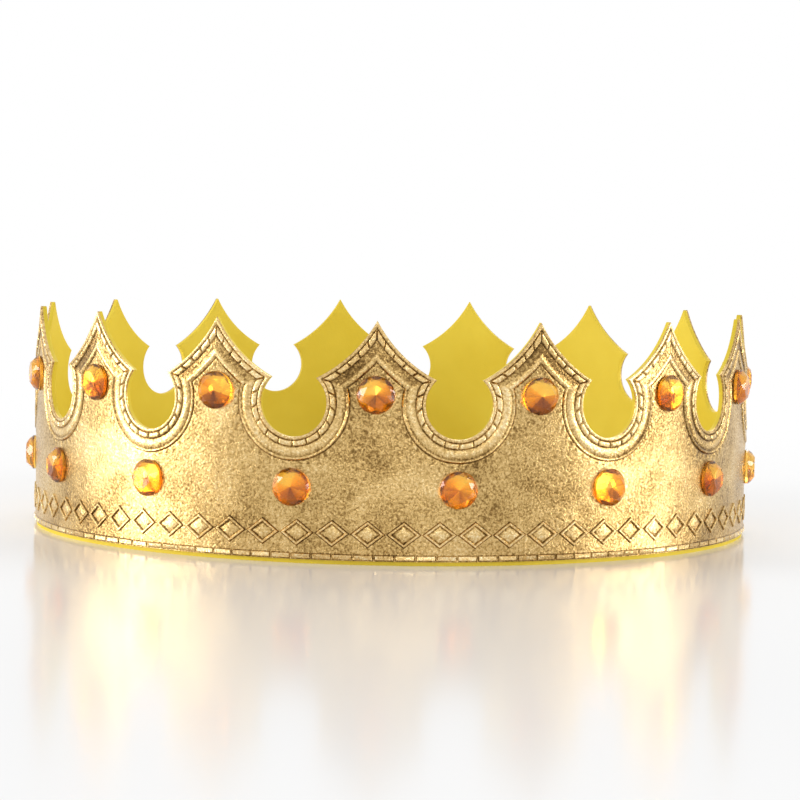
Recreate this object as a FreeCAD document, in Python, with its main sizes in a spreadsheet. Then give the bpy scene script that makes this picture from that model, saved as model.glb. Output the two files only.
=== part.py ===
import FreeCAD, Part
import os
from math import asin, atan2, cos, hypot, pi, sin, sqrt

import Sketcher

# A dress-up crown: one long die-cut strip closed into a round hoop.
# The strip is a yellow foam sheet with a gold film glued on its outer face, and the film
# has a raised border along its cut edge.
# Thirty faceted stones sit on it: one in each point and one low below each notch.
# The hoop stands on its lower edge. The origin is the centre of that edge circle,
# +Z is up and the front point faces -Y. Lengths are in millimetres.

os.makedirs("parts", exist_ok=True)
doc = FreeCAD.newDocument("crown")

# Driving dimensions

DIMENSIONS = [
    ("face_radius", 97.0, "outer face of the plain gold film"),
    ("film_thickness", 0.4, "gold film without its raised border"),
    ("foam_thickness", 1.1, "yellow foam sheet"),
    ("film_lift", 1.0, "foam that shows below the film"),
    ("point_count", 15, "points round the hoop"),
    ("tip_height", 59.0, "top of each point"),
    ("notch_floor", 30.6, "lowest edge of the round notch"),
    ("notch_radius", 8.3, "round notch between two points"),
    ("barb_gap", 11.4, "opening between two barbs"),
    ("shoulder_radius", 34.0, "hollow curve from a barb up to the tip"),
    ("border_width", 5.2, "raised border along the cut edge"),
    ("relief_height", 0.35, "border that stands proud of the film"),
    ("gem_diameter", 9.2, "round stone"),
    ("gem_rise", 2.7, "stone above the film"),
    ("gem_wall", 0.9, "upright side of the stone"),
    ("gem_table", 5.6, "flat top of the stone, corner to corner"),
    ("gem_top_height", 41.2, "centre of the stones in the points"),
    ("gem_low_height", 18.5, "centre of the stones below the notches"),
    ("seam_width", 0.4, "gap where the two ends of the strip meet"),
    ("tape_thickness", 0.8, "one layer of the closing tape"),
    ("tape_base", 3.0, "lower edge of the closing tape"),
    ("tape_width", 12.0, "closing tape, upwards"),
    ("tape_reach", 15.0, "closing tape on each side of the seam"),
    ("tape_bend", 3.0, "length over which the hook tape steps inwards"),
]

sizes = doc.addObject("Spreadsheet::Sheet", "sizes")
for row, (alias, number, meaning) in enumerate(DIMENSIONS, start=1):
    sizes.set(f"A{row}", str(number))
    sizes.setAlias(f"A{row}", alias)
    sizes.set(f"B{row}", meaning)
doc.recompute()

# Sizes that follow from the sheet. Each is a pair: the expression that a feature
# is bound to, and the same size as a number, for drawing the sketch in place.

half_pitch = pi / sizes.point_count
barb_rise = sqrt(sizes.notch_radius ** 2 - (sizes.barb_gap / 2) ** 2)
barb_turn = half_pitch - asin(sizes.barb_gap / 2 / sizes.face_radius)

FILM_INNER = ("sizes.face_radius - sizes.film_thickness",
              sizes.face_radius - sizes.film_thickness)
FOAM_INNER = ("sizes.face_radius - sizes.film_thickness - sizes.foam_thickness",
              sizes.face_radius - sizes.film_thickness - sizes.foam_thickness)
FACE = ("sizes.face_radius", sizes.face_radius)
RELIEF_OUTER = ("sizes.face_radius + sizes.relief_height",
                sizes.face_radius + sizes.relief_height)
MOULD_OUTER = ("sizes.face_radius + sizes.relief_height + 1",
               sizes.face_radius + sizes.relief_height + 1)
FILM_BASE = ("sizes.film_lift", sizes.film_lift)
RING_TOP = ("sizes.tip_height + 1", sizes.tip_height + 1)
CUT_TOP = ("sizes.tip_height + 3", sizes.tip_height + 3)
TIP = ("sizes.tip_height", sizes.tip_height)
SHOULDER = ("sizes.shoulder_radius", sizes.shoulder_radius)
NOTCH_CENTRE = ("sizes.notch_floor + sizes.notch_radius",
                sizes.notch_floor + sizes.notch_radius)
BARB_HEIGHT = (
    "sizes.notch_floor + sizes.notch_radius"
    " + sqrt(sizes.notch_radius ^ 2 - (sizes.barb_gap / 2) ^ 2)",
    sizes.notch_floor + sizes.notch_radius + barb_rise,
)
BARB_ACROSS = (
    "sizes.face_radius * sin(180 deg / sizes.point_count"
    " - asin(sizes.barb_gap / 2 / sizes.face_radius))",
    sizes.face_radius * sin(barb_turn),
)
# One point's cut ends just past the middle of the notch, in the open
UNIT_REACH = (
    "(sizes.face_radius + sizes.relief_height + 1) * sin(180 deg / sizes.point_count) + 0.1",
    MOULD_OUTER[1] * sin(half_pitch) + 0.1,
)
HALF_PITCH_YAW = "180 deg / sizes.point_count"
# The cuts start on a flat plane just inside the hoop and run outwards past the relief
CUT_START = ("(sizes.face_radius - sizes.film_thickness - sizes.foam_thickness)"
             " * cos(180 deg / sizes.point_count) - 1")
CUT_DEPTH = f"sizes.face_radius + sizes.relief_height + 2 - ({CUT_START})"
# How far the shoulder curve runs past the barb, into the open notch
BARB_LAP = 0.6

# Sketch helpers

START, END, CENTRE = 1, 2, 3
ORIGIN = (-1, 1)
H_AXIS, V_AXIS = -1, -2


def origin_part(body, role):
    return next(f for f in body.Origin.OriginFeatures if f.Role == role)


def new_body(name):
    body = doc.addObject("PartDesign::Body", name)
    body.Label = name
    return body


def outward(yaw="0 deg"):
    """The offset of a plane that faces out from the hoop, yaw round from the front."""
    spot = f"vector(({CUT_START}) * sin({yaw}); 0; ({CUT_START}) * cos({yaw}))"
    return f"placement({spot}; rotationy({yaw}))"


def new_sketch(body, name, role="XZ_Plane", offset=None):
    """Attach a sketch to an origin plane, moved by the offset expression if given."""
    sketch = body.newObject("Sketcher::SketchObject", name)
    sketch.AttachmentSupport = [(origin_part(body, role), "")]
    sketch.MapMode = "FlatFace"
    if offset:
        sketch.setExpression("AttachmentOffset", offset)
    doc.recompute()
    return sketch


def line(sketch, start, end):
    first = FreeCAD.Vector(start[0], start[1], 0)
    last = FreeCAD.Vector(end[0], end[1], 0)
    return sketch.addGeometry(Part.LineSegment(first, last), False)


def arc(sketch, centre, start, end, helper=False):
    """Draw an arc that runs anticlockwise from start towards end."""
    middle = FreeCAD.Vector(centre[0], centre[1], 0)
    radius = hypot(start[0] - centre[0], start[1] - centre[1])
    first = atan2(start[1] - centre[1], start[0] - centre[0])
    last = atan2(end[1] - centre[1], end[0] - centre[0])
    if last < first:
        last += 2 * pi
    circle = Part.Circle(middle, FreeCAD.Vector(0, 0, 1), radius)
    return sketch.addGeometry(Part.ArcOfCircle(circle, first, last), helper)


def tie(sketch, kind, *target):
    sketch.addConstraint(Sketcher.Constraint(kind, *target))


def join(sketch, one, other):
    tie(sketch, "Coincident", *one, *other)


def drive(sketch, kind, size, *target):
    """Add a dimension at the size drawn and bind it to the sheet."""
    expression, drawn = size
    index = sketch.addConstraint(Sketcher.Constraint(kind, *target, drawn))
    sketch.setExpression(f"Constraints[{index}]", expression)


def put_right(sketch, size, target):
    drive(sketch, "DistanceX", size, *ORIGIN, *target)


def put_left(sketch, size, target):
    drive(sketch, "DistanceX", size, *target, *ORIGIN)


def put_up(sketch, size, target):
    drive(sketch, "DistanceY", size, *ORIGIN, *target)


# Feature helpers


def add_ring(body, name, inner, outer, base, top):
    """Turn a rectangle about the upright axis into a plain ring."""
    sketch = new_sketch(body, name + "_section")
    low = base[1] if base else 0
    floor = line(sketch, (inner[1], low), (outer[1], low))
    outside = line(sketch, (outer[1], low), (outer[1], top[1]))
    roof = line(sketch, (outer[1], top[1]), (inner[1], top[1]))
    inside = line(sketch, (inner[1], top[1]), (inner[1], low))
    loop = (floor, outside, roof, inside)
    for near, far in zip(loop, loop[1:] + loop[:1]):
        join(sketch, (near, END), (far, START))
    for flat in (floor, roof):
        tie(sketch, "Horizontal", flat)
    for upright in (outside, inside):
        tie(sketch, "Vertical", upright)
    if base:
        put_up(sketch, base, (floor, START))
    else:
        tie(sketch, "PointOnObject", floor, START, H_AXIS)
    put_up(sketch, top, (roof, START))
    put_right(sketch, inner, (floor, START))
    put_right(sketch, outer, (floor, END))
    ring = body.newObject("PartDesign::Revolution", name)
    ring.Profile = sketch
    ring.ReferenceAxis = (sketch, ["V_Axis"])
    ring.Angle = 360
    return ring


def add_cut(body, name, sketch):
    """Cut outwards through the hoop's wall, from the sketch's plane."""
    cut = body.newObject("PartDesign::Pocket", name)
    cut.Profile = sketch
    cut.Reversed = True
    cut.setExpression("Length", CUT_DEPTH)
    return cut


def repeat_round(body, name, features, count):
    pattern = body.newObject("PartDesign::PolarPattern", name)
    pattern.Originals = features
    pattern.Axis = (origin_part(body, "Z_Axis"), [""])
    pattern.Angle = 360
    pattern.setExpression("Occurrences", count)
    body.Tip = pattern
    return pattern


# The outline of a point


def notch_sketch(body, name, inset=None):
    """The round notch, seen along its own radius. An inset makes it that much wider."""
    sketch = new_sketch(body, name, offset=outward(HALF_PITCH_YAW))
    expression, drawn = "sizes.notch_radius", sizes.notch_radius
    if inset:
        expression, drawn = f"{expression} + {inset[0]}", drawn + inset[1]
    circle = Part.Circle(FreeCAD.Vector(0, NOTCH_CENTRE[1], 0), FreeCAD.Vector(0, 0, 1), drawn)
    hole = sketch.addGeometry(circle, False)
    tie(sketch, "PointOnObject", hole, CENTRE, V_AXIS)
    put_up(sketch, NOTCH_CENTRE, (hole, CENTRE))
    drive(sketch, "Radius", (expression, drawn), hole)
    return sketch


def shoulder_sketch(body, name, inset=None):
    """Everything above a point's two hollow shoulders, seen along the point's own radius.

    The helper arcs are the cut edge itself, from the tip to each barb. The arcs that
    cut share their centres, so an inset keeps the same distance all along the edge.
    """
    sketch = new_sketch(body, name, offset=outward())
    tip = (0.0, TIP[1])
    barb = (BARB_ACROSS[1], BARB_HEIGHT[1])
    chord = hypot(barb[0] - tip[0], barb[1] - tip[1])
    stand_off = sqrt(SHOULDER[1] ** 2 - (chord / 2) ** 2)
    centre = ((tip[0] + barb[0]) / 2 + stand_off * (tip[1] - barb[1]) / chord,
              (tip[1] + barb[1]) / 2 + stand_off * (barb[0] - tip[0]) / chord)
    expression, radius = SHOULDER
    if inset:
        expression, radius = f"{expression} + {inset[0]}", radius + inset[1]
    end_across = barb[0] + BARB_LAP
    end_rise = centre[1] - sqrt(radius ** 2 - (end_across - centre[0]) ** 2)
    apex = (0.0, centre[1] - sqrt(radius ** 2 - centre[0] ** 2))
    end = (end_across, end_rise)

    def mirrored(spot):
        return (-spot[0], spot[1])

    edge_right = arc(sketch, centre, tip, barb, helper=True)
    edge_left = arc(sketch, mirrored(centre), mirrored(barb), tip, helper=True)
    cut_right = arc(sketch, centre, apex, end)
    cut_left = arc(sketch, mirrored(centre), mirrored(end), apex)
    reach, middle, top = UNIT_REACH[1], NOTCH_CENTRE[1], CUT_TOP[1]
    sill_right = line(sketch, end, (reach, middle))
    side_right = line(sketch, (reach, middle), (reach, top))
    lid = line(sketch, (reach, top), (-reach, top))
    side_left = line(sketch, (-reach, top), (-reach, middle))
    sill_left = line(sketch, (-reach, middle), mirrored(end))

    tie(sketch, "PointOnObject", edge_right, START, V_AXIS)
    put_up(sketch, TIP, (edge_right, START))
    put_right(sketch, BARB_ACROSS, (edge_right, END))
    put_up(sketch, BARB_HEIGHT, (edge_right, END))
    drive(sketch, "Radius", SHOULDER, edge_right)
    join(sketch, (edge_left, END), (edge_right, START))
    put_left(sketch, BARB_ACROSS, (edge_left, START))
    put_up(sketch, BARB_HEIGHT, (edge_left, START))
    drive(sketch, "Radius", SHOULDER, edge_left)

    lap_end = (f"{BARB_ACROSS[0]} + {BARB_LAP}", end_across)
    join(sketch, (cut_right, CENTRE), (edge_right, CENTRE))
    drive(sketch, "Radius", (expression, radius), cut_right)
    tie(sketch, "PointOnObject", cut_right, START, V_AXIS)
    put_right(sketch, lap_end, (cut_right, END))
    join(sketch, (cut_left, CENTRE), (edge_left, CENTRE))
    join(sketch, (cut_left, END), (cut_right, START))
    put_left(sketch, lap_end, (cut_left, START))

    loop = (sill_right, side_right, lid, side_left, sill_left)
    join(sketch, (cut_right, END), (sill_right, START))
    for near, far in zip(loop, loop[1:]):
        join(sketch, (near, END), (far, START))
    join(sketch, (sill_left, END), (cut_left, START))
    put_right(sketch, UNIT_REACH, (sill_right, END))
    put_up(sketch, NOTCH_CENTRE, (sill_right, END))
    tie(sketch, "Vertical", side_right)
    tie(sketch, "Horizontal", lid)
    tie(sketch, "Vertical", side_left)
    put_up(sketch, CUT_TOP, (side_right, END))
    put_left(sketch, UNIT_REACH, (lid, END))
    put_up(sketch, NOTCH_CENTRE, (side_left, END))
    return sketch


def cut_points(body, inset=None):
    """Cut the ring to its points, or to the field inside their border."""
    notch = add_cut(body, body.Name + "_notch", notch_sketch(body, body.Name + "_round", inset))
    shoulder_profile = shoulder_sketch(body, body.Name + "_curves", inset)
    shoulder = add_cut(body, body.Name + "_shoulder", shoulder_profile)
    return repeat_round(body, body.Name + "_points", [notch, shoulder], "sizes.point_count")


def cut_seam(body):
    """Part the two ends of the strip at the middle of the back."""
    sketch = new_sketch(body, body.Name + "_ends", offset=outward("180 deg"))
    half = ("sizes.seam_width / 2", sizes.seam_width / 2)
    below = ("1", 1.0)
    floor = line(sketch, (-half[1], -below[1]), (half[1], -below[1]))
    right = line(sketch, (half[1], -below[1]), (half[1], RING_TOP[1]))
    roof = line(sketch, (half[1], RING_TOP[1]), (-half[1], RING_TOP[1]))
    left = line(sketch, (-half[1], RING_TOP[1]), (-half[1], -below[1]))
    loop = (floor, right, roof, left)
    for near, far in zip(loop, loop[1:] + loop[:1]):
        join(sketch, (near, END), (far, START))
    for flat in (floor, roof):
        tie(sketch, "Horizontal", flat)
    for upright in (right, left):
        tie(sketch, "Vertical", upright)
    put_right(sketch, half, (floor, END))
    put_left(sketch, half, (floor, START))
    put_up(sketch, RING_TOP, (roof, START))
    drive(sketch, "DistanceY", below, floor, START, *ORIGIN)
    return add_cut(body, body.Name + "_seam", sketch)


# Foam sheet, the yellow inside of the crown and the edge it stands on


def make_foam():
    body = new_body("foam_backing")
    add_ring(body, "foam_ring", FOAM_INNER, FILM_INNER, None, RING_TOP)
    cut_points(body)
    body.Tip = cut_seam(body)
    return body


# Gold film with a raised border along its cut edge


def make_mould():
    """The space over the plain field. What is cut out of it stays proud as the border."""
    body = new_body("mould")
    add_ring(body, "mould_ring", FACE, MOULD_OUTER, None, CUT_TOP)
    cut_points(body, ("sizes.border_width", sizes.border_width))
    return body


def make_film():
    """Press the field into a thick ring first, and cut the points and the seam after that."""
    ring = new_body("film_blank")
    add_ring(ring, "film_ring", FILM_INNER, RELIEF_OUTER, FILM_BASE, RING_TOP)
    pressed = doc.addObject("Part::Cut", "film_pressed")
    pressed.Base = ring
    pressed.Tool = make_mould()
    doc.recompute()
    body = new_body("gold_face")
    body.BaseFeature = pressed
    cut_points(body)
    body.Tip = cut_seam(body)
    return body


# Faceted stones with flat backs

FACET_COUNT = 6


def facet_sketch(body):
    """What one slanted facet takes off the stone, seen from the side."""
    sketch = new_sketch(body, body.Name + "_facet")
    flat = cos(pi / FACET_COUNT)
    table = (f"sizes.gem_table / 2 * cos(180 deg / {FACET_COUNT})", sizes.gem_table / 2 * flat)
    rim = ("sizes.gem_diameter / 2", sizes.gem_diameter / 2)
    clear = ("sizes.gem_diameter / 2 + 1", sizes.gem_diameter / 2 + 1)
    wall = ("sizes.gem_wall", sizes.gem_wall)
    rise = ("sizes.gem_rise", sizes.gem_rise)
    over = ("sizes.gem_rise + 1", sizes.gem_rise + 1)
    corners = [(table, rise), (rim, wall), (clear, wall), (clear, over), (table, over)]
    spots = [(across[1], up[1]) for across, up in corners]
    sides = [line(sketch, near, far) for near, far in zip(spots, spots[1:] + spots[:1])]
    for near, far in zip(sides, sides[1:] + sides[:1]):
        join(sketch, (near, END), (far, START))
    for side, (across, up) in zip(sides, corners):
        put_right(sketch, across, (side, START))
        put_up(sketch, up, (side, START))
    return sketch


def make_gem(label, yaw, height):
    """A twelve-sided stone with six facets cut round its flat top."""
    body = new_body(label)
    blank = body.newObject("PartDesign::AdditivePrism", label + "_round")
    blank.Polygon = 2 * FACET_COUNT
    blank.setExpression("Circumradius", "sizes.gem_diameter / 2")
    blank.setExpression("Height", "sizes.gem_rise")
    cut = body.newObject("PartDesign::Pocket", label + "_cut")
    cut.Profile = facet_sketch(body)
    cut.Midplane = True
    cut.setExpression("Length", "2 * sizes.gem_diameter")
    pattern = body.newObject("PartDesign::PolarPattern", label + "_facets")
    pattern.Originals = [cut]
    pattern.Axis = (origin_part(body, "Z_Axis"), [""])
    pattern.Angle = 360
    pattern.Occurrences = FACET_COUNT
    body.Tip = pattern
    seat = f"vector(sizes.face_radius * sin({yaw}); 0 - sizes.face_radius * cos({yaw}); {height})"
    body.setExpression("Placement", f"placement({seat}; rotationz({yaw}) * rotationx(90))")
    return body


def make_gems():
    """The first stone of each row is at the front, and the rest follow towards +X."""
    stones = []
    for index in range(int(sizes.point_count)):
        number = f"{index + 1:02d}"
        over = f"{index} * 360 deg / sizes.point_count"
        between = f"({index} + 0.5) * 360 deg / sizes.point_count"
        stones.append(make_gem(f"gem_top_{number}", over, "sizes.gem_top_height"))
        stones.append(make_gem(f"gem_low_{number}", between, "sizes.gem_low_height"))
    return stones


# Closing tape inside the back: loops on one end of the strip, hooks on the other


def rim_spot(across, radius):
    return (across, sqrt(radius ** 2 - across ** 2))


def tape_sketch(body, runs):
    """Draw a strip in plan from runs of (left x, right x, outer radius, inner radius).

    Each run hugs the hoop. Straight lines link one run to the next.
    """
    tape_plane = "placement(vector(0; 0; sizes.tape_base); rotationz(0))"
    sketch = new_sketch(body, body.Name + "_plan", "XY_Plane", tape_plane)
    outer_arcs, inner_arcs = [], []
    for left, right, outer, inner in runs:
        for radius, arcs in ((outer, outer_arcs), (inner, inner_arcs)):
            start = rim_spot(right[1], radius[1])
            end = rim_spot(left[1], radius[1])
            curve = arc(sketch, (0.0, 0.0), start, end)
            join(sketch, (curve, CENTRE), ORIGIN)
            drive(sketch, "Radius", radius, curve)
            for size, spot in ((right, START), (left, END)):
                if size[1] > 0:
                    put_right(sketch, size, (curve, spot))
                else:
                    put_left(sketch, (f"0 - ({size[0]})", -size[1]), (curve, spot))
            arcs.append(curve)
    links = []
    for arcs in (outer_arcs, inner_arcs):
        links += [((a, START), (b, END)) for a, b in zip(arcs, arcs[1:])]
    links.append(((outer_arcs[0], END), (inner_arcs[0], END)))
    links.append(((outer_arcs[-1], START), (inner_arcs[-1], START)))
    for one, other in links:
        start = sketch.getPoint(*one)
        end = sketch.getPoint(*other)
        bridge = line(sketch, (start.x, start.y), (end.x, end.y))
        join(sketch, (bridge, START), one)
        join(sketch, (bridge, END), other)
    return sketch


def make_tape(label, runs):
    body = new_body(label)
    strip = body.newObject("PartDesign::Pad", label + "_strip")
    strip.Profile = tape_sketch(body, runs)
    strip.setExpression("Length", "sizes.tape_width")
    return body


def make_closure():
    bend = ("sizes.tape_bend / 2", sizes.tape_bend / 2)
    bend_left = ("0 - sizes.tape_bend / 2", -sizes.tape_bend / 2)
    reach = ("sizes.tape_reach", sizes.tape_reach)
    reach_left = ("0 - sizes.tape_reach", -sizes.tape_reach)
    first = (f"{FOAM_INNER[0]} - sizes.tape_thickness", FOAM_INNER[1] - sizes.tape_thickness)
    second = (f"{FOAM_INNER[0]} - 2 * sizes.tape_thickness",
              FOAM_INNER[1] - 2 * sizes.tape_thickness)
    loops = make_tape("closure_loop_pad", [(bend, reach, FOAM_INNER, first)])
    hooks = make_tape("closure_hook_tape", [(reach_left, bend_left, FOAM_INNER, first),
                                            (bend, reach, first, second)])
    return [loops, hooks]


pieces = [make_foam(), make_film()]
pieces += make_gems()
pieces += make_closure()
doc.recompute()

for item in doc.Objects:
    if "Invalid" in item.State or "Error" in item.State:
        raise RuntimeError(f"{item.Name} failed: {item.State}")
for piece in pieces:
    if piece.Shape.isNull() or not piece.Shape.isValid():
        raise RuntimeError(f"{piece.Label} has no valid shape")
    if len(piece.Shape.Solids) != 1:
        raise RuntimeError(f"{piece.Label} is not one solid")
for piece in pieces:
    piece.Shape.exportStep(f"parts/{piece.Label}.step")
print("wrote", len(pieces), "pieces")
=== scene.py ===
# %% [markdown]
# # A dress-up crown in embossed gold film
# The real crown is one long strip. A yellow foam sheet makes its inside, a metallic gold film
# with an embossed pattern is glued to the outside, and faceted amber stones are stuck on top.
# The strip is cut to fifteen points and closed into a hoop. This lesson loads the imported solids
# as a fixed frame and then builds each visible layer around them.

from math import atan2, cos, hypot, pi, radians, sin, sqrt

import bmesh
import bpy
from mathutils import Matrix, Vector, noise


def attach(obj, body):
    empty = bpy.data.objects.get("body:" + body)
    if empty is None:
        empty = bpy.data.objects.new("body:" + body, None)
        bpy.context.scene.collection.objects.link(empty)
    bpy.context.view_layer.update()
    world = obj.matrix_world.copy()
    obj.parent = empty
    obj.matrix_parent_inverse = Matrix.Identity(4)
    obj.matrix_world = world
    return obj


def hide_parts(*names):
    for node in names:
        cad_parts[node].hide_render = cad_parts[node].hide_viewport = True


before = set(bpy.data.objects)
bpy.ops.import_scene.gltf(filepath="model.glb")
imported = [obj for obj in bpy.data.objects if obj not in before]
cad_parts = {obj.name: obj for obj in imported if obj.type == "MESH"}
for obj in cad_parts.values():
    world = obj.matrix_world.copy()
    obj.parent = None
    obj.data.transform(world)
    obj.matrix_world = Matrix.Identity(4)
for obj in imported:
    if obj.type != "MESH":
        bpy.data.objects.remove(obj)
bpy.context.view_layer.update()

# %% [markdown]
# ## The crown's measures
# Everything below is drawn in millimetres, because a strip crown is easier to think of that
# way, and each finished piece is brought to metres. The numbers repeat those of the solids:
# the height of the points, the round notch between two points, and the hollow shoulders.
# Vertices closer than the two weld distances become one: where copies meet round the hoop, and
# where a point meets its mirror image.

# %% Measures in millimetres
MM = 0.001
WELD = 0.004
WELD_MIDDLE = 0.001
FACE_RADIUS = 97.0
FILM_THICKNESS = 0.4
FOAM_THICKNESS = 1.1
FILM_BASE = 1.0
POINTS = 15
TIP_HEIGHT = 59.0
NOTCH_RADIUS = 8.3
NOTCH_MIDDLE = 30.6 + NOTCH_RADIUS
BARB_GAP = 11.4
SHOULDER_RADIUS = 34.0
POINT_TURN = 2 * pi / POINTS
HALF_PITCH = FACE_RADIUS * POINT_TURN / 2
BARB = Vector((HALF_PITCH - BARB_GAP / 2,
               NOTCH_MIDDLE + sqrt(NOTCH_RADIUS ** 2 - (BARB_GAP / 2) ** 2)))
print(f"strip length {2 * pi * FACE_RADIUS:.0f} mm, half a point {HALF_PITCH:.2f} mm")

# %% [markdown]
# ## Tools for every piece
# A strip is drawn flat, with its length along X, its height along Y and its thickness along Z.
# Wrapping turns that drawing into a hoop: X becomes an angle and Z a radius. Wrapping after the
# drawing keeps each pattern simple, because a flat pattern is only straight lines and arcs.

# %% Wrap, repeat and finish a mesh
def wrap(bm):
    """Bend the flat drawing round the hoop. X = 0 goes to the front."""
    for vert in bm.verts:
        angle = vert.co.x / FACE_RADIUS
        radius = FACE_RADIUS + vert.co.z
        vert.co = Vector((radius * sin(angle), -radius * cos(angle), vert.co.y))


def repeat_round(bm, count):
    """Copy a wrapped piece round the hoop and weld the copies."""
    step = 2 * pi / count
    bmesh.ops.spin(bm, geom=bm.verts[:] + bm.edges[:] + bm.faces[:], cent=(0, 0, 0),
                   axis=(0, 0, 1), angle=step * (count - 1), steps=count - 1,
                   use_duplicate=True)
    bmesh.ops.remove_doubles(bm, verts=bm.verts, dist=WELD)


def finish_piece(bm, name, smooth_below=40):
    """Bring a mesh to metres and link it, smooth wherever its faces meet gently."""
    bmesh.ops.scale(bm, vec=(MM, MM, MM), verts=bm.verts)
    for face in bm.faces:
        face.smooth = smooth_below > 0
    for edge in bm.edges:
        edge.smooth = edge.calc_face_angle(0) < radians(smooth_below)
    mesh = bpy.data.meshes.new(name)
    bm.to_mesh(mesh)
    bm.free()
    piece = bpy.data.objects.new(name, mesh)
    bpy.context.scene.collection.objects.link(piece)
    triangles = sum(len(face.vertices) - 2 for face in mesh.polygons)
    print(f"{name}: {triangles} triangles")
    return piece


# %% [markdown]
# ## The cut edge of a point
# One point is symmetric, so half of its edge is enough: a hollow shoulder from the tip down to
# the barb, then the round notch. The embossing follows that edge at even distances, so it is
# drawn as rows. A row is the same two arcs, moved in by an inset. A vertex spun about each
# arc's centre draws it, and rows with equal vertex counts can be bridged into clean strips.

# %% Draw one row of the edge
CHORD = hypot(BARB.x, TIP_HEIGHT - BARB.y)
STAND_OFF = sqrt(SHOULDER_RADIUS ** 2 - (CHORD / 2) ** 2)
SHOULDER_CENTRE = Vector((BARB.x / 2 + STAND_OFF * (TIP_HEIGHT - BARB.y) / CHORD,
                          (TIP_HEIGHT + BARB.y) / 2 + STAND_OFF * BARB.x / CHORD))
NOTCH_CENTRE = Vector((HALF_PITCH, NOTCH_MIDDLE))
SHOULDER_STEPS = 40
NOTCH_STEPS = 48


def arcs_meet(inset):
    """The corner of a row, where its shoulder arc meets its notch arc."""
    shoulder, notch = SHOULDER_RADIUS + inset, NOTCH_RADIUS + inset
    apart = SHOULDER_CENTRE - NOTCH_CENTRE
    along = (apart.length ** 2 + notch ** 2 - shoulder ** 2) / (2 * apart.length)
    across = sqrt(notch ** 2 - along ** 2)
    direction = apart.normalized()
    return NOTCH_CENTRE + direction * along + Vector((-direction.y, direction.x)) * across


def spin_arc(bm, start, centre, end, steps, height):
    """Spin a vertex from start to end about a centre. The ends are under half a turn apart."""
    first = start.co.xy - centre
    last = end - centre
    turn = atan2(first.x * last.y - first.y * last.x, first.dot(last))
    drawn = bmesh.ops.spin(bm, geom=[start], cent=(centre.x, centre.y, height),
                           axis=(0, 0, 1), angle=turn, steps=steps)
    return drawn["geom_last"][0]


def edge_row(bm, inset, height):
    """Draw half of a point's edge, moved in by the inset, and return its edges."""
    before = set(bm.edges)
    top = SHOULDER_CENTRE.y - sqrt((SHOULDER_RADIUS + inset) ** 2 - SHOULDER_CENTRE.x ** 2)
    tip = bm.verts.new((0, top, height))
    corner = arcs_meet(inset)
    barb = spin_arc(bm, tip, SHOULDER_CENTRE, corner, SHOULDER_STEPS, height)
    foot = Vector((HALF_PITCH, NOTCH_MIDDLE - NOTCH_RADIUS - inset))
    spin_arc(bm, barb, NOTCH_CENTRE, foot, NOTCH_STEPS, height)
    bm.edges.index_update()
    return [edge for edge in bm.edges if edge not in before]


trial = bmesh.new()
edge_row(trial, 0, 0)
ends = [tuple(round(c, 2) for c in v.co) for v in trial.verts]
print("tip, barb, foot:", ends[0], ends[SHOULDER_STEPS], ends[-1])
trial.free()

# %% [markdown]
# ## The embossed border
# From the edge inwards the film rises into a thin lip, drops into a groove, rises again to a row
# of short dashes, runs flat and rough, and swells into a round rib. Each of those is a row at
# its own height. The dashes are cut apart by pressing every eighth vertex of their rows down.
# Round a notch the film also puckers: two of every four vertices of one row are pressed down.
# Each row also carries a shade number that paints shade into the groove, the dash gaps and the
# puckers, paints highlights onto the lip, the dashes and the rib, darkens the rough flat on the
# shoulders and lightens it round the notch.

# %% Rows of the border
BACK = -FILM_THICKNESS
BORDER_ROWS = [
    # inset, height on the shoulder, height round the notch, painted shade (below 0) or highlight
    # (above 0) on each
    (0.00, BACK, BACK, 0.0, 0.0),
    (0.00, 0.00, 0.00, 0.0, 0.0),
    (0.10, 0.14, 0.14, 0.3, 0.3),
    (0.35, 0.18, 0.18, 0.4, 0.4),
    (0.68, 0.12, 0.12, 0.1, 0.1),
    (0.88, -0.05, -0.05, -0.8, -0.8),
    (1.08, 0.28, 0.28, 0.1, 0.1),
    (1.25, 0.36, 0.36, 0.5, 0.5),
    (2.00, 0.36, 0.36, 0.5, 0.5),
    (2.18, 0.28, 0.28, 0.0, 0.0),
    (2.42, -0.05, -0.05, -0.9, -0.8),
    (2.75, 0.02, 0.12, -0.5, 0.1),
    (3.60, 0.02, 0.24, -0.4, 0.4),
    (4.25, 0.04, 0.20, -0.4, 0.3),
    (4.50, 0.26, 0.10, 0.1, 0.0),
    (4.85, 0.34, 0.04, 0.5, -0.5),
    (5.15, 0.30, 0.28, 0.3, 0.0),
    (5.40, 0.24, 0.34, 0.2, 0.4),
    (5.62, 0.05, 0.16, -0.4, -0.1),
    (5.78, -0.08, -0.08, -0.9, -0.9),
    (6.05, 0.00, 0.00, -0.1, -0.1),
    (6.35, 0.00, 0.10, 0.0, 0.2),
    (7.60, 0.00, 0.00, 0.0, 0.0),
]
DASHES = (1.0, 2.2)
DASH_VERTS = 8
# The dash gaps and the pucker dents get painted shade.
GAP_HEIGHT, GAP_SHADE = -0.03, -0.8
PUCKER_INSET, PUCKER_VERTS = 6.35, 4
PUCKER_HEIGHT, PUCKER_SHADE = -0.03, -0.4


def painted_shading_layer(bm):
    """A number on each vertex that paints shade and highlight into the film's colour."""
    return bm.verts.layers.float.get("painted_shading") or bm.verts.layers.float.new("painted_shading")


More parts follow.
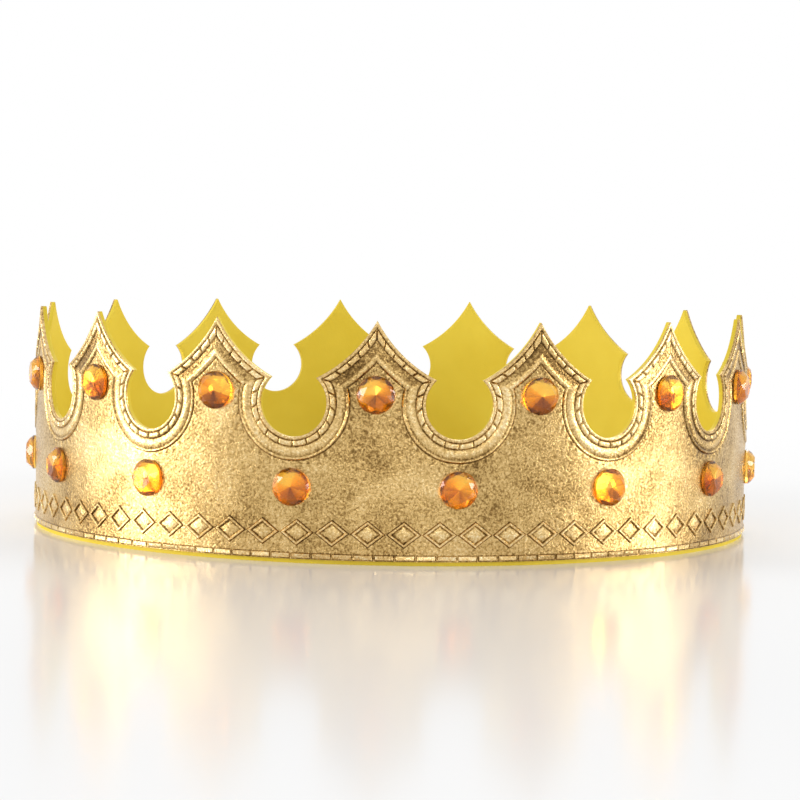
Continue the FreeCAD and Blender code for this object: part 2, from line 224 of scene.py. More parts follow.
def half_border(bm):
    """Bridge the rows into one half of a point's border. Returns the first and last row."""
    rows = []
    painted_shading = painted_shading_layer(bm)
    for inset, on_shoulder, round_notch, shoulder_shade, notch_shade in BORDER_ROWS:
        row = edge_row(bm, inset, on_shoulder)
        bm.verts.index_update()
        verts = sorted({v for edge in row for v in edge.verts}, key=lambda v: v.index)
        for index, vert in enumerate(verts):
            on_notch = index > SHOULDER_STEPS
            vert.co.z = round_notch if on_notch else on_shoulder
            # The row's painted shade (below 0) or painted highlight (above 0); dash gaps and
            # puckers get painted shade.
            vert[painted_shading] = notch_shade if on_notch else shoulder_shade
            if DASHES[0] < inset < DASHES[1] and index % DASH_VERTS == 0:
                vert.co.z, vert[painted_shading] = GAP_HEIGHT, GAP_SHADE
            if inset == PUCKER_INSET and index % PUCKER_VERTS < PUCKER_VERTS / 2:
                vert.co.z, vert[painted_shading] = PUCKER_HEIGHT, PUCKER_SHADE
        rows.append(row)
    for outer, inner in zip(rows, rows[1:]):
        bmesh.ops.bridge_loops(bm, edges=outer + inner)
    return rows[0], rows[-1]


# %% [markdown]
# ## The field and the back of the film
# Inside the border the film is plain. It is one flat face between the last row, the middle of
# the notch and the band of diamonds. Cutting it into a grid while it is flat lets it bend later.
# The back of the film is made the same way from the first row, so that the film is a closed
# sheet with a real thickness.

# %% Fill and slice a flat face
BAND_TOP = 11.6
SLICES = 14
SLICE_RISE = 3.0


def ends_of(row):
    """The two end vertices of an open row: at the point's middle, and at the notch."""
    loose = [v for edge in row for v in edge.verts if sum(e in row for e in v.link_edges) == 1]
    return sorted(loose, key=lambda v: v.co.x)


def fill_below(bm, row, height, floor=BAND_TOP):
    """Fill the flat area from a row down to a floor, and cut it into upright slices."""
    tip, foot = ends_of(set(row))
    low_foot = bm.verts.new((HALF_PITCH, floor, height))
    low_tip = bm.verts.new((0, floor, height))
    pairs = ((foot, low_foot), (low_foot, low_tip), (low_tip, tip))
    sides = [bm.edges.new(pair) for pair in pairs]
    filled = bmesh.ops.edgeloop_fill(bm, edges=list(row) + sides)["faces"]
    for index in range(1, SLICES):
        spot = (HALF_PITCH * index / SLICES, 0, 0)
        cut = bmesh.ops.bisect_plane(bm, geom=parts_of(filled), plane_co=spot, plane_no=(1, 0, 0))
        filled = [g for g in cut["geom"] if isinstance(g, bmesh.types.BMFace)]
    return filled


def parts_of(faces):
    """The faces with their edges and vertices, as the cutting operators want them."""
    edges = {edge for face in faces for edge in face.edges}
    verts = {vert for face in faces for vert in face.verts}
    return list(verts) + list(edges) + list(faces)


def slice_level(bm, faces, heights):
    """Cut upright slices across at each height."""
    for height in heights:
        cut = bmesh.ops.bisect_plane(bm, geom=parts_of(faces), plane_co=(0, height, 0),
                                     plane_no=(0, 1, 0))
        faces = [g for g in cut["geom"] if isinstance(g, bmesh.types.BMFace)]


# %% [markdown]
# ## One whole point
# The half is mirrored into a whole point, bent round the hoop and copied fifteen times.

# %% Build the pointed part of the film
def film_points():
    """The film above the band of diamonds, all the way round."""
    bm = bmesh.new()
    first, last = half_border(bm)
    field = fill_below(bm, last, 0.0)
    slice_level(bm, field, [BAND_TOP + SLICE_RISE * step for step in range(1, 14)])
    fill_below(bm, first, BACK)
    bmesh.ops.mirror(bm, geom=bm.verts[:] + bm.edges[:] + bm.faces[:], matrix=Matrix(),
                     merge_dist=WELD_MIDDLE, axis="X")
    wrap(bm)
    repeat_round(bm, POINTS)
    return bm


# %% [markdown]
# ## The band of diamonds
# Below the field runs a row of touching diamonds, each a raised frame round a sunk middle.
# One cell of the band is a rhombus with four corner faces. A row of insets shapes it: a fine
# groove with painted shade, the rise to the frame, the level frame with a painted highlight, the
# drop with painted shade, and a middle that swells a little and gets a painted highlight. The
# long sides of the cell get extra vertices, so that they can be welded to the finer rows above
# and below. The whole band is turned by a sixth of a diamond, as in the picture.

# %% Build the diamonds
DIAMONDS = 70
DIAMOND_SHIFT = -2 * pi / 420
BAND_FOOT = 3.4
DIAMOND_MIDDLE = 7.5
DIAMOND_HALF_RISE = 3.35
HIGH_RIM_CUTS, LOW_RIM_CUTS = 2, 5
DIAMOND_STEPS = [
    # width, rise, painted shade (below 0) or highlight (above 0) of each step from the outside in
    (0.08, -0.08, -0.9), (0.14, 0.34, 0.0), (0.12, 0.12, 0.5), (0.30, 0.0, 0.5),
    (0.12, -0.12, 0.1), (0.16, -0.34, -0.7), (0.45, 0.12, 0.3), (0.50, 0.10, 0.5),
]


def diamond_band():
    """The ring of diamonds, from the stitch line up to the field."""
    bm = bmesh.new()
    painted_shading = painted_shading_layer(bm)
    half = pi * FACE_RADIUS / DIAMONDS
    spots = {
        "low left": (-half, BAND_FOOT), "low": (0, BAND_FOOT), "low right": (half, BAND_FOOT),
        "left": (-half, DIAMOND_MIDDLE), "right": (half, DIAMOND_MIDDLE),
        "foot": (0, DIAMOND_MIDDLE - DIAMOND_HALF_RISE),
        "head": (0, DIAMOND_MIDDLE + DIAMOND_HALF_RISE),
        "high left": (-half, BAND_TOP), "high": (0, BAND_TOP), "high right": (half, BAND_TOP),
    }
    at = {name: bm.verts.new((x, y, 0)) for name, (x, y) in spots.items()}
    rhombus = bm.faces.new([at[n] for n in ("left", "foot", "right", "head")])
    for corners in (("low left", "low", "foot", "left"),
                    ("low", "low right", "right", "foot"),
                    ("right", "high right", "high", "head"),
                    ("head", "high", "high left", "left")):
        bm.faces.new([at[n] for n in corners])
    for level, cuts in ((BAND_TOP, HIGH_RIM_CUTS), (BAND_FOOT, LOW_RIM_CUTS)):
        rim = [e for e in bm.edges if all(abs(v.co.y - level) < 1e-6 for v in e.verts)]
        bmesh.ops.bisect_edges(bm, edges=rim, cuts=cuts)
    for thickness, depth, tint_and_painted_shade in DIAMOND_STEPS:
        bmesh.ops.inset_individual(bm, faces=[rhombus], thickness=thickness, depth=depth,
                                   use_even_offset=True)
        # Each inset ring takes its step's painted shade or painted highlight.
        for vert in rhombus.verts:
            vert[painted_shading] = tint_and_painted_shade
    wrap(bm)
    bmesh.ops.rotate(bm, verts=bm.verts, cent=(0, 0, 0),
                     matrix=Matrix.Rotation(DIAMOND_SHIFT, 3, "Z"))
    repeat_round(bm, DIAMONDS)
    return bm


# %% [markdown]
# ## The line of stitches
# Along the lower edge runs a line of short pressed dashes that looks like stitching. A cell is
# cut in two at the line's upper side. In its lower part one inset leaves a flat gap with painted
# shade round the dash, and two more raise the dash, which gets a painted highlight.

# %% Build the stitch line
STITCHES = 120
STITCH_TOP = 2.7
STITCH_RIM_CUTS = 6
# Each inset: width, rise and painted shade or highlight. Painted shade in the gap round the dash,
# painted highlight on the dash.
STITCH_STEPS = [(0.18, 0.0, -0.9), (0.12, 0.20, 0.1), (0.14, 0.12, 0.5)]


def stitch_band():
    """The ring of dashes along the film's lower edge."""
    bm = bmesh.new()
    painted_shading = painted_shading_layer(bm)
    half = pi * FACE_RADIUS / STITCHES
    corners = ((0, FILM_BASE), (2 * half, FILM_BASE), (2 * half, BAND_FOOT), (0, BAND_FOOT))
    cell = bm.faces.new([bm.verts.new((x, y, 0)) for x, y in corners])
    cut = bmesh.ops.bisect_plane(bm, geom=parts_of([cell]), plane_co=(0, STITCH_TOP, 0),
                                 plane_no=(0, 1, 0))
    halves = [g for g in cut["geom"] if isinstance(g, bmesh.types.BMFace)]
    low = min(halves, key=lambda f: f.calc_center_median().y)
    for level in (FILM_BASE, BAND_FOOT):
        rim = [e for e in bm.edges if all(abs(v.co.y - level) < 1e-6 for v in e.verts)]
        bmesh.ops.bisect_edges(bm, edges=rim, cuts=STITCH_RIM_CUTS)
    for thickness, depth, tint_and_painted_shade in STITCH_STEPS:
        bmesh.ops.inset_individual(bm, faces=[low], thickness=thickness, depth=depth,
                                   use_even_offset=True)
        # The ring takes the inset's painted shade or painted highlight.
        for vert in low.verts:
            vert[painted_shading] = tint_and_painted_shade
    wrap(bm)
    repeat_round(bm, STITCHES)
    return bm


# %% [markdown]
# ## The whole film
# The three rings are welded along their shared rows. Then the lower edge is turned in, and the
# outer skin gets slight waves, because glued film never lies quite even. Last the hollow back
# is closed, and the hoop is slit at the back, where the two ends of the strip meet.

# %% Weld, close and slit the film
SEAM_HALF = 0.2
NEAR_SEAM = 12
WAVE_HEIGHT = 0.14
WAVES = ((13, 1.0), (6, 0.6))
SKIN_DEPTH = 0.15
STILL_FOOT = 0.5


def merge_bmeshes(parts):
    """Put several meshes in one and weld them where they touch."""
    whole = bmesh.new()
    for part in parts:
        carrier = bpy.data.meshes.new("carrier")
        part.to_mesh(carrier)
        part.free()
        whole.from_mesh(carrier)
        bpy.data.meshes.remove(carrier)
    bmesh.ops.remove_doubles(whole, verts=whole.verts, dist=WELD)
    return whole


def open_edges(bm):
    """The edges with a face on one side only."""
    return [edge for edge in bm.edges if edge.is_boundary]


def slit_back(bm):
    """Take out a narrow strip at the middle of the back and cap the two ends."""
    for side in (-1, 1):
        near = [f for f in bm.faces if f.calc_center_median().y > 0
                and abs(f.calc_center_median().x) < NEAR_SEAM]
        bmesh.ops.bisect_plane(bm, geom=parts_of(near), plane_co=(side * SEAM_HALF, 0, 0),
                               plane_no=(1, 0, 0), dist=1e-5)
    gone = [f for f in bm.faces if f.calc_center_median().y > 0
            and abs(f.calc_center_median().x) < SEAM_HALF]
    bmesh.ops.delete(bm, geom=gone, context="FACES")
    bmesh.ops.holes_fill(bm, edges=open_edges(bm), sides=0)


film = merge_bmeshes([film_points(), diamond_band(), stitch_band()])
base_edges = [e for e in open_edges(film)
              if all(abs(v.co.z - FILM_BASE) < 1e-4 for v in e.verts)]
turned = bmesh.ops.extrude_edge_only(film, edges=base_edges)["geom"]
turned = [g for g in turned if isinstance(g, bmesh.types.BMVert)]
inward = (FACE_RADIUS - FILM_THICKNESS) / FACE_RADIUS
bmesh.ops.scale(film, vec=(inward, inward, 1), verts=turned)
print("open edges before closing:", len(open_edges(film)))
for vert in film.verts:
    if vert.co.xy.length > FACE_RADIUS - SKIN_DEPTH and vert.co.z > FILM_BASE + STILL_FOOT:
        wave = sum(share * noise.noise(vert.co / length) for length, share in WAVES)
        vert.co.xy *= 1 + WAVE_HEIGHT * wave / FACE_RADIUS
bmesh.ops.bridge_loops(film, edges=open_edges(film))
slit_back(film)
bmesh.ops.recalc_face_normals(film, faces=film.faces)
print("open edges left:", len(open_edges(film)))
gold_film = finish_piece(film, "gold_film")

# %% [markdown]
# ## The foam sheet
# The inside of the crown is smooth yellow foam, cut with the same die as the film, so it uses
# the same rows. Its inner edge is slightly rounded, as soft foam is where a blade pressed it.

# %% Build the foam
FOAM_ROWS = [
    # inset, height
    (0.00, BACK),
    (0.00, BACK - FOAM_THICKNESS + 0.25),
    (0.07, BACK - FOAM_THICKNESS + 0.07),
    (0.25, BACK - FOAM_THICKNESS),
]


def foam_points():
    """The foam hoop, closed and slit at the back."""
    bm = bmesh.new()
    rows = [edge_row(bm, inset, height) for inset, height in FOAM_ROWS]
    for outer, inner in zip(rows, rows[1:]):
        bmesh.ops.bridge_loops(bm, edges=outer + inner)
    fill_below(bm, rows[0], BACK, floor=0)
    inside = fill_below(bm, rows[-1], BACK - FOAM_THICKNESS, floor=0)
    slice_level(bm, inside, [SLICE_RISE * step for step in range(1, 19)])
    bmesh.ops.mirror(bm, geom=bm.verts[:] + bm.edges[:] + bm.faces[:], matrix=Matrix(),
                     merge_dist=WELD_MIDDLE, axis="X")
    wrap(bm)
    repeat_round(bm, POINTS)
    bmesh.ops.bridge_loops(bm, edges=open_edges(bm))
    slit_back(bm)
    bmesh.ops.recalc_face_normals(bm, faces=bm.faces)
    return bm


foam_sheet = finish_piece(foam_points(), "foam_sheet")

# %% [markdown]
# ## The stones
# Craft stones are moulded acrylic: a round girdle, a crown of facets and a flat table, over a
# back with a mirror coat. The corners of such a cut lie on four rings, and the convex hull of
# those rings gives the facets. The middle of the back is raised into a shallow cone. The back
# keeps its own material, because the mirror under the clear body is what makes a stone flash.
# Each sector of it gets a painted reflection, a brightness of its own, and the upper ones get
# painted light on top, brighter because the light comes from above.

# %% Cut one stone
GEM_DIAMETER = 9.2
GEM_RISE = 2.7
FLAT_ENOUGH = radians(1.5)
GEM_RINGS = [
    # corners, diameter, height, turned by a share of one corner
    (32, 1.0, 0.0, 0.0),
    (32, 1.0, 0.85, 0.0),
    (8, 0.86, 1.75, 0.5),
    (8, 0.62, GEM_RISE, 0.0),
]
BODY_SLOT, BACK_SLOT = 0, 1
BACK_RISE = 0.5
# Painted reflection: a brightness for each sector of the back. Painted light from above: how much
# brighter the upper sectors are.
PAINTED_FLASHES = (0.62, 0.50, 0.66, 0.45, 0.40, 0.55, 0.85, 0.70)
PAINTED_LIGHT_FROM_ABOVE = 0.50


def cut_stone(turn):
    """One stone on the XY plane, turned about its own axis."""
    bm = bmesh.new()
    painted_flash = bm.faces.layers.float.new("painted_flash")
    for corners, share, height, part in GEM_RINGS:
        radius = GEM_DIAMETER / 2 * share
        ring = bmesh.ops.create_circle(bm, segments=corners, radius=radius)["verts"]
        bmesh.ops.rotate(bm, verts=ring, cent=(0, 0, 0),
                         matrix=Matrix.Rotation(2 * pi / corners * part, 3, "Z"))
        bmesh.ops.translate(bm, verts=ring, vec=(0, 0, height))
    bmesh.ops.delete(bm, geom=bm.edges[:], context="EDGES_FACES")
    bmesh.ops.convex_hull(bm, input=bm.verts[:])
    bmesh.ops.dissolve_limit(bm, angle_limit=FLAT_ENOUGH, verts=bm.verts[:], edges=bm.edges[:])
    back = [face for face in bm.faces if face.normal.z < -0.9]
    middle = bmesh.ops.poke(bm, faces=back)
    for vert in middle["verts"]:
        vert.co.z = BACK_RISE
    backs = set(middle["faces"])
    for face in bm.faces:
        face.material_index = BACK_SLOT if face in backs else BODY_SLOT
        spot = face.calc_center_median()
        # Each sector of the back gets a painted reflection of its own brightness.
        sector = int((atan2(spot.y, spot.x) / (2 * pi) + 0.5) * len(PAINTED_FLASHES)) % len(PAINTED_FLASHES)
        face[painted_flash] = PAINTED_FLASHES[sector]
    bmesh.ops.rotate(bm, verts=bm.verts, cent=(0, 0, 0), matrix=Matrix.Rotation(turn, 3, "Z"))
    # Painted light from above: the upper part of the back is painted brighter.
    for face in backs:
        face[painted_flash] += PAINTED_LIGHT_FROM_ABOVE * face.calc_center_median().y / (GEM_DIAMETER / 2)
    return bm


def seat(bm, yaw, height):
    """Stand a stone on the film, its axis pointing out of the hoop."""
    out = Vector((sin(yaw), -cos(yaw), 0))
    along = Vector((cos(yaw), sin(yaw), 0))
    turned = Matrix((along, (0, 0, 1), out)).transposed().to_4x4()
    place = Matrix.Translation(out * FACE_RADIUS + Vector((0, 0, height)))
    bmesh.ops.transform(bm, matrix=place @ turned, verts=bm.verts)


# %% [markdown]
# Each stone was dropped in its place by hand, so no two are turned alike. A fixed step that
# never repeats gives every stone its own turn, and the script gives the same crown each time.

# %% Set the thirty stones
GEM_TOP_HEIGHT = 41.2
GEM_LOW_HEIGHT = 18.5
TURN_STEP = radians(137.5)
stones = []
for row, (label, share, height) in enumerate((("top", 0.0, GEM_TOP_HEIGHT),
                                              ("low", 0.5, GEM_LOW_HEIGHT))):
    for index in range(POINTS):
        stone_mesh = cut_stone(TURN_STEP * (index * 2 + row))
        seat(stone_mesh, (index + share) * POINT_TURN, height)
        stone = finish_piece(stone_mesh, f"stone_{label}_{index + 1:02d}", smooth_below=0)
        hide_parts(f"gem_{label}_{index + 1:02d}")
        stones.append(stone)
print("stones:", len(stones))

# %% [markdown]
# ## The closing tape
# At the back the two ends of the strip are held by hook and loop tape, glued inside. Each tape
# is a woven strip. The loop pad sits on one end, and the hook tape crosses from the other end
# and steps in over the pad. The hooks and loops face each other, where nobody sees them.

# %% Weave the two tapes
TAPE_FOOT = 3.0
TAPE_WIDTH = 12.0
TAPE_REACH = 15.0
TAPE_BEND = 3.0
TAPE_LAYER = 0.8
FOAM_INSIDE = -(FILM_THICKNESS + FOAM_THICKNESS)
TAPE_CELLS = 20
TAPE_EDGE = 0.9
PAD_GAP = 0.2


def tape_strip(name, left, right, step):
    """A woven strip at the back, from left to right, that lies on the foam or steps in."""
    bm = bmesh.new()
    grid = bmesh.ops.create_grid(bm, x_segments=TAPE_CELLS * 2, y_segments=TAPE_CELLS, size=0.5)
    bmesh.ops.scale(bm, vec=(right - left, TAPE_WIDTH, 1), verts=grid["verts"])
    middle = ((left + right) / 2, TAPE_FOOT + TAPE_WIDTH / 2, 0)
    bmesh.ops.translate(bm, verts=grid["verts"], vec=middle)
    for vert in bm.verts:
        rise = min(max((vert.co.x + TAPE_BEND / 2) / TAPE_BEND, 0), 1) if step else 0
        vert.co.z = FOAM_INSIDE - TAPE_LAYER * rise * rise * (3 - 2 * rise)
    bmesh.ops.inset_region(bm, faces=bm.faces[:], thickness=TAPE_EDGE, depth=0,
                           use_even_offset=True)
    bmesh.ops.solidify(bm, geom=bm.faces[:], thickness=TAPE_LAYER)
    for vert in bm.verts:
        vert.co.x += pi * FACE_RADIUS
    wrap(bm)
    bmesh.ops.recalc_face_normals(bm, faces=bm.faces)
    return finish_piece(bm, name)


loop_pad = tape_strip("loop_pad", TAPE_BEND / 2 + PAD_GAP, TAPE_REACH, step=False)
hook_tape = tape_strip("hook_tape", -TAPE_REACH, TAPE_REACH, step=True)
print("tape from", TAPE_FOOT, "to", TAPE_FOOT + TAPE_WIDTH, "mm")

# %% [markdown]
# ## Node tools
# A material is a small graph. These helpers keep each graph short to read: one makes a
# material with its shader, one adds a node and sets its inputs, one adds a colour ramp, one
# does a sum and one draws a link.

# %% Helpers for materials
def new_material(name):
    """A material and its main shader node."""
    material = bpy.data.materials.new(name)
    material.use_nodes = True
    return material, material.node_tree.nodes["Principled BSDF"]


def add_node(material, kind, properties=(), **inputs):
    """A new node. Inputs are named with _ for a space, and take a value or a socket to link."""
    node = material.node_tree.nodes.new(kind)
    for key, value in properties:
        setattr(node, key, value)
    for key, value in inputs.items():
        socket = node.inputs[key.replace("_", " ")]
        if isinstance(value, bpy.types.NodeSocket):
            material.node_tree.links.new(value, socket)
        else:
            socket.default_value = value
    return node


def ramp(material, factor, *stops):
    """A colour ramp from (position, colour) stops."""
    node = add_node(material, "ShaderNodeValToRGB", Fac=factor)
    elements = node.color_ramp.elements
    while len(elements) < len(stops):
        elements.new(0.5)
    for element, (position, colour) in zip(elements, stops):
        element.position = position
        element.color = (*colour, 1)
    return node.outputs["Color"]


def calculate(material, operation, first, second):
    """A sum of two values or sockets."""
    node = add_node(material, "ShaderNodeMath", [("operation", operation)])
    for socket, value in zip(node.inputs, (first, second)):
        if isinstance(value, bpy.types.NodeSocket):
            material.node_tree.links.new(value, socket)
        else:
            socket.default_value = value
    return node.outputs[0]


def connect(material, source, target):
    material.node_tree.links.new(source, target)


# %% [markdown]
# ## Gold film
# The film is thin metallised plastic. Its grain is a fine wrinkle like worn leather, pressed into
# it. The shade number kept on each vertex paints shade into the pressed grooves and gaps and
# paints highlights onto the raised ribs, dashes and frames. Grain, larger blotches and that
# painted shade and highlight add up to one tone, which a colour ramp turns into dark brown, gold
# or pale gold. Depths are in metres from here on.

# %% Gold film material
GRAIN_SCALE = 1700.0
GRAIN_DEPTH = 0.00007
DENT_DEPTH = 0.0007
GRAIN_SHARE, BLOTCH_SHARE, SHADE_SHARE = 0.38, 0.62, 0.26


def gold_material():
    material, shader = new_material("gold_film")
    place = add_node(material, "ShaderNodeTexCoord").outputs["Object"]
    warp = add_node(material, "ShaderNodeTexNoise", Vector=place, Scale=420.0, Detail=2.0)
    bent = add_node(material, "ShaderNodeVectorMath", [("operation", "MULTIPLY_ADD")])
    connect(material, warp.outputs["Color"], bent.inputs[0])
    bent.inputs[1].default_value = (0.0012, 0.0012, 0.0008)
    connect(material, place, bent.inputs[2])
    wrinkle = add_node(material, "ShaderNodeTexNoise", Vector=bent.outputs[0],
                       Scale=GRAIN_SCALE, Detail=3.0, Roughness=0.62).outputs["Fac"]
    grain = add_node(material, "ShaderNodeMapRange", Value=wrinkle,
                     From_Min=0.30, From_Max=0.70).outputs["Result"]
    dents = add_node(material, "ShaderNodeTexNoise", Vector=place, Scale=85.0, Detail=3.0,
                     Roughness=0.5, Distortion=0.5).outputs["Fac"]

    # Painted shade in the pressed grooves and painted highlight on the raised ribs, kept on each
    # vertex.
    painted_shading = add_node(material, "ShaderNodeAttribute", [("attribute_name", "painted_shading")])
    blotch = add_node(material, "ShaderNodeTexNoise", Vector=place, Scale=52.0, Detail=4.0,
                      Distortion=0.6).outputs["Fac"]
    grained = calculate(material, "MULTIPLY", grain, GRAIN_SHARE)
    blotched = calculate(material, "MULTIPLY_ADD", blotch, BLOTCH_SHARE)
    connect(material, grained, blotched.node.inputs[2])
    tone = calculate(material, "MULTIPLY_ADD", painted_shading.outputs["Fac"], SHADE_SHARE)
    connect(material, blotched, tone.node.inputs[2])
    colour = ramp(material, tone,
                  (0.14, (0.075, 0.040, 0.012)), (0.33, (0.25, 0.145, 0.045)),
                  (0.47, (0.55, 0.36, 0.13)), (0.62, (0.76, 0.53, 0.23)),
                  (0.85, (0.98, 0.83, 0.50)))
    connect(material, colour, shader.inputs["Base Color"])
    shader.inputs["Metallic"].default_value = 1.0
    rough = add_node(material, "ShaderNodeMapRange", Value=grain, To_Min=0.36, To_Max=0.22)
    connect(material, rough.outputs["Result"], shader.inputs["Roughness"])
    coarse = add_node(material, "ShaderNodeBump", Strength=0.5, Distance=DENT_DEPTH, Height=dents)
    fine = add_node(material, "ShaderNodeBump", Strength=0.8, Distance=GRAIN_DEPTH, Height=grain,
                    Normal=coarse.outputs["Normal"])
    connect(material, fine.outputs["Normal"], shader.inputs["Normal"])
    return material


gold_film.data.materials.append(gold_material())

# %% [markdown]
# ## Yellow foam
# Closed-cell craft foam is matt, with skin pores too small to see but enough to break up the
# light. Its colour is even, with a slight cloudiness.

# %% Foam material
def foam_material():
    material, shader = new_material("yellow_foam")
    place = add_node(material, "ShaderNodeTexCoord").outputs["Object"]
    cloud = add_node(material, "ShaderNodeTexNoise", Vector=place, Scale=45.0, Detail=5.0)
    colour = ramp(material, cloud.outputs["Fac"],
                  (0.3, (0.76, 0.56, 0.035)), (0.7, (0.84, 0.65, 0.06)))
    connect(material, colour, shader.inputs["Base Color"])
    shader.inputs["Roughness"].default_value = 0.62
    shader.inputs["Specular IOR Level"].default_value = 0.3
    pores = add_node(material, "ShaderNodeTexVoronoi", Vector=place, Scale=2600.0)
    bump = add_node(material, "ShaderNodeBump", Strength=0.25, Distance=0.00006,
                    Height=pores.outputs["Distance"])
    connect(material, bump.outputs["Normal"], shader.inputs["Normal"])
    return material


foam_sheet.data.materials.append(foam_material())

# %% [markdown]
# ## Amber stones
# The body is clear amber acrylic. The back has a warm mirror coat that throws the light back
# through the facets. The flash number of each sector paints a reflection into that coat's colour,
# lighter on the upper sectors as painted light from above.

# %% Stone materials
def stone_body_material():
    material, shader = new_material("amber_acrylic")
    place = add_node(material, "ShaderNodeTexCoord").outputs["Object"]
    tint_and_painted_shade = add_node(material, "ShaderNodeTexNoise", Vector=place, Scale=160.0, Detail=1.0)
    colour = ramp(material, tint_and_painted_shade.outputs["Fac"],
                  (0.35, (1.0, 0.52, 0.06)), (0.65, (1.0, 0.66, 0.13)))
    connect(material, colour, shader.inputs["Base Color"])
    shader.inputs["Transmission Weight"].default_value = 1.0
    shader.inputs["IOR"].default_value = 1.49
    shader.inputs["Roughness"].default_value = 0.015
    return material


def stone_back_material():
    material, shader = new_material("mirror_back_painted_flash")
    place = add_node(material, "ShaderNodeTexCoord").outputs["Object"]
    cloud = add_node(material, "ShaderNodeTexNoise", Vector=place, Scale=500.0).outputs["Fac"]
    # The painted flash is a painted reflection that sets each sector's brightness.
    painted_flash = add_node(material, "ShaderNodeAttribute", [("attribute_name", "painted_flash")])
    light = calculate(material, "MULTIPLY_ADD", cloud, 0.3)
    connect(material, painted_flash.outputs["Fac"], light.node.inputs[2])
    colour = ramp(material, light,
                  (0.15, (0.14, 0.05, 0.015)), (0.55, (0.62, 0.28, 0.05)),
                  (0.80, (1.0, 0.62, 0.16)), (1.0, (1.0, 0.88, 0.55)))
    connect(material, colour, shader.inputs["Base Color"])
    shader.inputs["Metallic"].default_value = 1.0
    shader.inputs["Roughness"].default_value = 0.18
    return material


amber, mirror = stone_body_material(), stone_back_material()
for stone in stones:
    stone.data.materials.append(amber)
    stone.data.materials.append(mirror)

# %% [markdown]
# ## Woven tape
# The tape is a fine plain weave, so its bump is two crossed waves.

# %% Tape material
def tape_material():
    material, shader = new_material("woven_tape")
    place = add_node(material, "ShaderNodeTexCoord").outputs["Object"]
    across = add_node(material, "ShaderNodeTexWave", Vector=place, Scale=420.0)
    upward = add_node(material, "ShaderNodeTexWave", [("bands_direction", "Z")],
                      Vector=place, Scale=420.0)
    weave = calculate(material, "MULTIPLY", across.outputs["Fac"], upward.outputs["Fac"])
    colour = ramp(material, weave, (0.0, (0.70, 0.52, 0.05)), (0.8, (0.92, 0.76, 0.16)))
    connect(material, colour, shader.inputs["Base Color"])
    shader.inputs["Roughness"].default_value = 0.8
    shader.inputs["Sheen Weight"].default_value = 0.3
    bump = add_node(material, "ShaderNodeBump", Strength=0.7, Distance=0.0001, Height=weave)
    connect(material, bump.outputs["Normal"], shader.inputs["Normal"])
    return material


woven = tape_material()
for tape in (loop_pad, hook_tape):
    tape.data.materials.append(woven)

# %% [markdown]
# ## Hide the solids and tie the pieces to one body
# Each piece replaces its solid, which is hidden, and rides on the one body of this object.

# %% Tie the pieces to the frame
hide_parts("gold_face")
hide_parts("foam_backing")
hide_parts("closure_loop_pad")
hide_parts("closure_hook_tape")
slots = {gold_film: "gold_film", foam_sheet: "foam", loop_pad: "tape", hook_tape: "tape"}
slots.update({stone: "stone" for stone in stones})
for piece, slot in slots.items():
    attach(piece, "root")
print("pieces:", len(slots))

# %% [markdown]
# ## A white table in a soft studio
# The floor is a pale glossy board that shows a faint reflection. Away from the crown it fades
# to plain white, so that no horizon shows. The world is white for the camera and for
# reflections, and dimmer for lighting, so the crown keeps its own shades.

# %% Floor and world
NEAR, FAR = 0.16, 0.60
FLOOR_RADIUS = 6.0
WORLD_LIGHT, WORLD_SEEN = 0.55, 1.0


def background_ray(tree):
    """1 for camera, glossy and transmission rays, 0 for rays that carry light."""
    path = tree.nodes.new("ShaderNodeLightPath")
    total = path.outputs["Is Camera Ray"]
    for kind in ("Is Glossy Ray", "Is Transmission Ray"):
        both = tree.nodes.new("ShaderNodeMath")
        both.operation = "ADD"
        both.use_clamp = True
        tree.links.new(total, both.inputs[0])
        tree.links.new(path.outputs[kind], both.inputs[1])
        total = both.outputs[0]
    return total


def floor_material():
    """A glossy white board near the crown, plain white further away."""
    material, shader = new_material("white_board")
    place = add_node(material, "ShaderNodeTexCoord").outputs["Object"]
    cloud = add_node(material, "ShaderNodeTexNoise", Vector=place, Scale=3.0)
    colour = ramp(material, cloud.outputs["Fac"],
                  (0.3, (0.93, 0.93, 0.93)), (0.7, (0.95, 0.95, 0.95)))
    connect(material, colour, shader.inputs["Base Color"])
    shader.inputs["Roughness"].default_value = 0.14
    shader.inputs["Specular IOR Level"].default_value = 0.35
    reach = add_node(material, "ShaderNodeVectorMath", [("operation", "LENGTH")], Vector=place)
    away = add_node(material, "ShaderNodeMapRange", [("interpolation_type", "SMOOTHSTEP")],
                    Value=reach.outputs["Value"], From_Min=NEAR, From_Max=FAR)
    shown = calculate(material, "MULTIPLY", away.outputs["Result"],
                      background_ray(material.node_tree))
    white = add_node(material, "ShaderNodeEmission", Color=(1, 1, 1, 1), Strength=1.0)
    mixed = add_node(material, "ShaderNodeMixShader", Fac=shown)
    connect(material, shader.outputs["BSDF"], mixed.inputs[1])
    connect(material, white.outputs["Emission"], mixed.inputs[2])
    output = material.node_tree.nodes["Material Output"]
    connect(material, mixed.outputs["Shader"], output.inputs["Surface"])
    return material


disc = bmesh.new()
bmesh.ops.create_circle(disc, cap_ends=True, segments=96, radius=FLOOR_RADIUS)
floor_mesh = bpy.data.meshes.new("floor")
disc.to_mesh(floor_mesh)
disc.free()
floor = bpy.data.objects.new("floor", floor_mesh)
bpy.context.scene.collection.objects.link(floor)
floor.data.materials.append(floor_material())

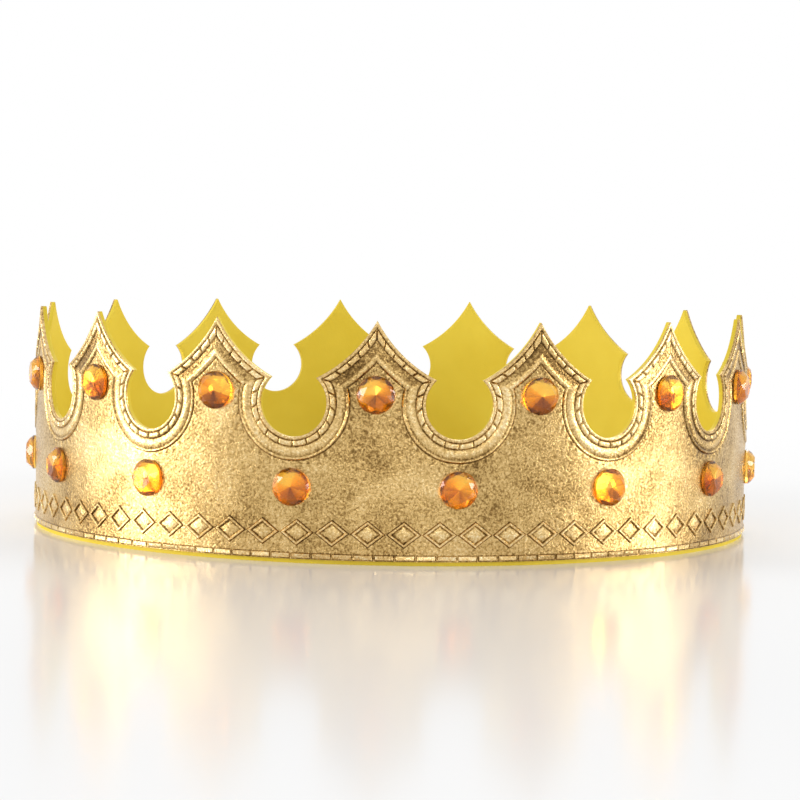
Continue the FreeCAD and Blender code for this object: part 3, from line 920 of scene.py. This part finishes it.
world = bpy.data.worlds.new("studio")
bpy.context.scene.world = world
world.use_nodes = True
nodes, links = world.node_tree.nodes, world.node_tree.links
strength = nodes.new("ShaderNodeMapRange")
links.new(background_ray(world.node_tree), strength.inputs["Value"])
strength.inputs["To Min"].default_value = WORLD_LIGHT
strength.inputs["To Max"].default_value = WORLD_SEEN
links.new(strength.outputs["Result"], nodes["Background"].inputs["Strength"])
nodes["Background"].inputs["Color"].default_value = (1, 1, 1, 1)
print("floor out to", FLOOR_RADIUS, "m, world light", WORLD_LIGHT)

# %% [markdown]
# ## Lamps
# The film is brightest where it turns to the left and to the right, and darker in front. So the
# two strong lamps stand low at the sides, the left one stronger, because the inside of the hoop
# is brighter at the right. A weak lamp stands in front and one more lights the back.

# %% Place the lamps
LAMP_AIM = Vector((0, 0, 0.03))


def add_lamp(name, place, size, power):
    """A square lamp that faces the crown's middle."""
    lamp = bpy.data.lights.new(name, "AREA")
    lamp.size = size
    lamp.energy = power
    holder = bpy.data.objects.new(name, lamp)
    bpy.context.scene.collection.objects.link(holder)
    holder.location = place
    holder.rotation_euler = (LAMP_AIM - Vector(place)).to_track_quat("-Z", "Y").to_euler()


add_lamp("left", (-0.95, -0.18, 0.24), 0.45, 6.0)
add_lamp("front", (0.10, -1.25, 0.50), 0.30, 1.5)
add_lamp("right", (0.95, -0.12, 0.22), 0.35, 3.8)
add_lamp("back", (0.1, 0.9, 0.8), 0.6, 4.0)

# %% [markdown]
# ## The camera
# The picture was taken from the front and slightly above, with a long lens. Its place comes
# from a fit of the hoop's circles to the picture: a little right of the front point, 0.75 m
# from the crown's middle, tilted down by 3.6 degrees and rolled by one.

# %% Place the camera
CAMERA_PLACE = (0.0288, -0.7502, 0.0809)
CAMERA_YAW, CAMERA_TILT, CAMERA_ROLL = radians(2.02), radians(90 - 3.57), 0.0179
camera_data = bpy.data.cameras.new("camera")
camera = bpy.data.objects.new("camera", camera_data)
bpy.context.scene.collection.objects.link(camera)
camera_data.lens = 122.8
camera_data.sensor_width = 36.0
camera_data.clip_start = 0.01
facing = (Matrix.Rotation(CAMERA_YAW, 4, "Z") @ Matrix.Rotation(CAMERA_TILT, 4, "X")
          @ Matrix.Rotation(CAMERA_ROLL, 4, "Z"))
camera.matrix_world = Matrix.Translation(CAMERA_PLACE) @ facing
bpy.context.scene.camera = camera
bpy.context.scene.view_settings.view_transform = "Standard"
